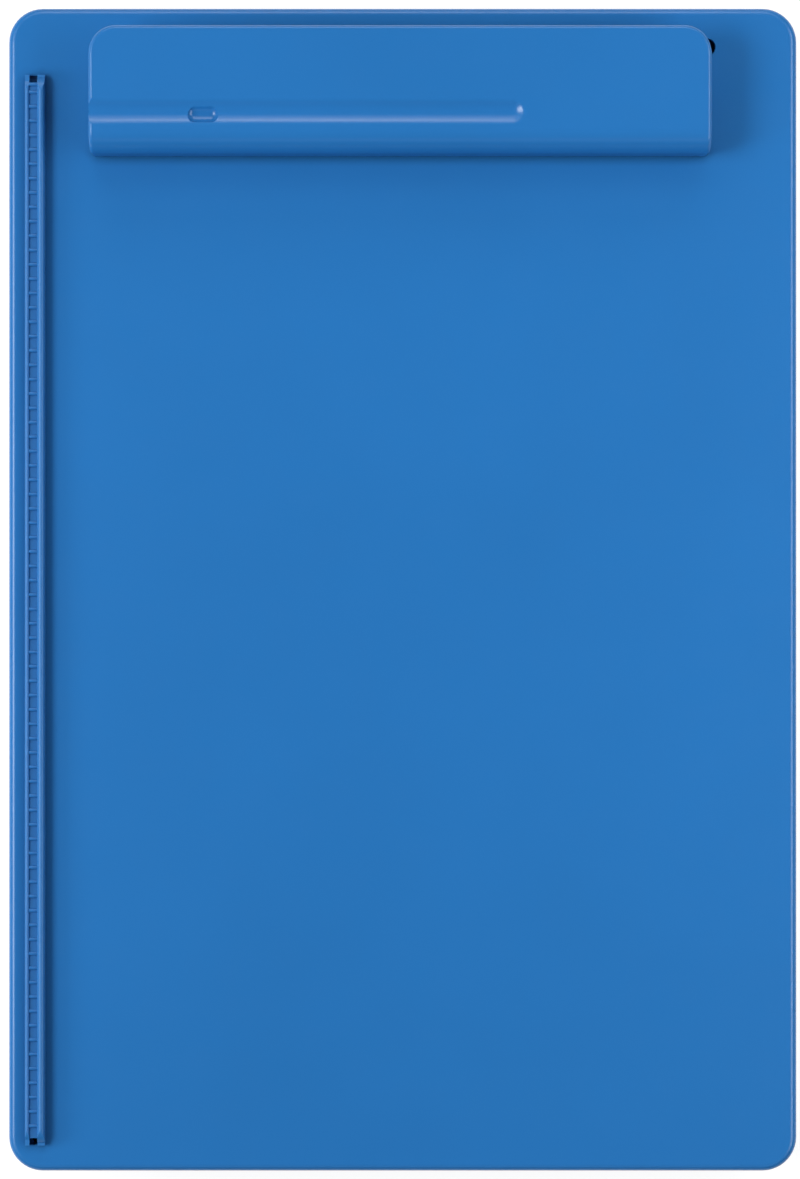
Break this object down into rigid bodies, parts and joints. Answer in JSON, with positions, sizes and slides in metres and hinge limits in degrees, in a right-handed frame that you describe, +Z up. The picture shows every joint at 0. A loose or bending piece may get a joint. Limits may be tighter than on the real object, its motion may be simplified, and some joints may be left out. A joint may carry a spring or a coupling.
{
  "type": "storage clipboard box",
  "caption": "Shallow storage box whose hinged lid is a clipboard, with a sprung clip, a pen groove in the clip, a ladder rail down the left side and a side latch.",
  "frame": {"origin": "middle of the box's outline, on the table plane that the four feet stand on", "axes": "+Y to the head of the board, where the clip is; +X to the board's right side, where the latch is; +Z up out of the writing face"},
  "size_m": [0.2328, 0.3436, 0.041],
  "materials": {
    "blue_plastic": "satin moulded plastic, blue",
    "steel": "zinc-plated steel",
    "spring_steel": "drawn spring wire",
    "rubber": "matt black rubber"
  },
  "bodies": {
    "tray": {"tray": "blue_plastic", "foot_top_left": "rubber", "foot_top_right": "rubber", "foot_bottom_left": "rubber", "foot_bottom_right": "rubber", "hinge_pin": "steel"},
    "lid": {"lid": "blue_plastic", "rail": "blue_plastic", "latch_pin": "steel", "clip_base": "steel", "backing_plate": "steel", "clip_rivets": "steel", "clip_axle": "steel", "axle_caps": "steel", "clip_spring_left": "spring_steel", "clip_spring_right": "spring_steel"},
    "clip": {"clip_lever": "blue_plastic", "jaw_pad": "rubber"},
    "latch": {"latch": "blue_plastic"}
  },
  "joints": [
    {"name": "lid_hinge", "type": "hinge", "parent": "tray", "child": "lid", "pos_m": [-0.1143, 0, 0.0205], "axis": [0, -1, 0], "range_deg": [0, 180]},
    {"name": "clip_hinge", "type": "hinge", "parent": "lid", "child": "clip", "pos_m": [-0.0008, 0.1476, 0.032], "axis": [-1, 0, 0], "range_deg": [0, 30], "stiffness_Nm_per_rad": 0.2, "springref_deg": -28.65, "deforming": ["clip_spring_left", "clip_spring_right"]},
    {"name": "latch_hinge", "type": "hinge", "parent": "lid", "child": "latch", "pos_m": [0.1144, 0, 0.0205], "axis": [0, -1, 0], "range_deg": [0, 80]}
  ]
}
